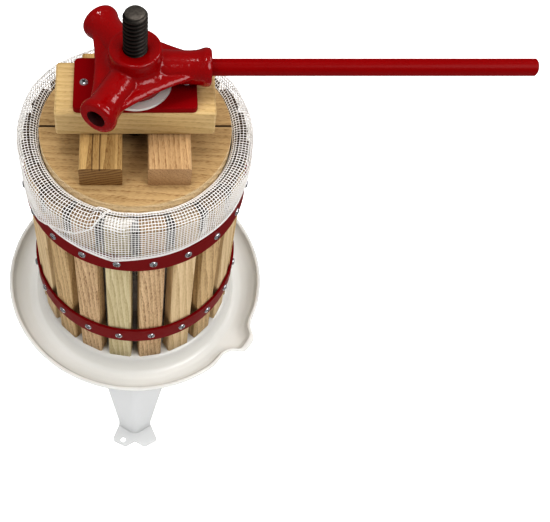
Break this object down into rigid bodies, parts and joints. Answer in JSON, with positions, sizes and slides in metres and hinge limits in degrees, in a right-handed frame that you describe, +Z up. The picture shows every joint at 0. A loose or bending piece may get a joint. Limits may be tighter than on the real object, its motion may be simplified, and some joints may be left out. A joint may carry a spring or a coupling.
{
  "type": "fruit press",
  "caption": "Tabletop basket fruit press: slatted oak basket with net bag on a spouted steel tray with splayed legs, pressed by boards under a cast nut with a bar handle on a fixed screw.",
  "frame": {"origin": "on the floor, under the spindle's axis, at the centre of the three foot holes", "axes": "+Z up along the spindle, -Y towards the viewer at the front leg, +X along the handle"},
  "size_m": [0.5688, 0.3599, 0.621],
  "materials": {
    "ivory_coat": "smooth ivory powder coat",
    "red_coat": "satin wine red coat",
    "red_gloss": "glossy crimson enamel",
    "black_steel": "blackened rolled thread",
    "zinc_steel": "zinc plated",
    "bright_screw": "bright plated",
    "oak": "oiled oak",
    "white_net": "white open net",
    "pale_plastic": "pale nylon"
  },
  "bodies": {
    "stand": {"tray": "ivory_coat", "leg_front": "ivory_coat", "leg_right": "ivory_coat", "leg_left": "ivory_coat", "spindle": "black_steel", "spindle_foot_nut": "zinc_steel", "spindle_lock_nut": "zinc_steel", "spindle_lower_washer": "zinc_steel", "spindle_upper_washer": "zinc_steel"},
    "basket": {"lower_hoop": "red_coat", "upper_hoop": "red_coat", "lower_hoop_screws": "bright_screw", "upper_hoop_screws": "bright_screw", "filter_bag": "white_net", "stave_01": "oak", "stave_02": "oak", "stave_03": "oak", "stave_04": "oak", "stave_05": "oak", "stave_06": "oak", "stave_07": "oak", "stave_08": "oak", "stave_09": "oak", "stave_10": "oak", "stave_11": "oak", "stave_12": "oak", "stave_13": "oak", "stave_14": "oak", "stave_15": "oak", "stave_16": "oak", "stave_17": "oak", "stave_18": "oak", "stave_19": "oak", "stave_20": "oak"},
    "press_stack": {"front_board": "oak", "rear_board": "oak", "left_block": "oak", "right_block": "oak", "cross_block": "oak", "pressure_plate": "red_coat", "plate_screws": "bright_screw", "thrust_washer": "pale_plastic"},
    "nut": {"press_nut": "red_gloss"},
    "handle": {"handle_bar": "red_gloss"}
  },
  "joints": [
    {"name": "basket_lift", "type": "slide", "parent": "stand", "child": "basket", "axis": [0, 0, 1], "range_m": [0, 0.02]},
    {"name": "press_slide", "type": "slide", "parent": "stand", "child": "press_stack", "axis": [0, 0, 1], "range_m": [-0.065, 0.045]},
    {"name": "nut_turn", "type": "hinge", "parent": "press_stack", "child": "nut", "pos_m": [0, 0, 0.5265], "axis": [0, 0, 1], "range_deg": [-4680, 3240]},
    {"name": "handle_pull", "type": "slide", "parent": "nut", "child": "handle", "axis": [1, 0, 0], "range_m": [0, 0.04]}
  ],
  "couplings": [
    {"joint": "press_slide", "follows": "nut_turn", "m_per_rad": 0.00079577}
  ]
}
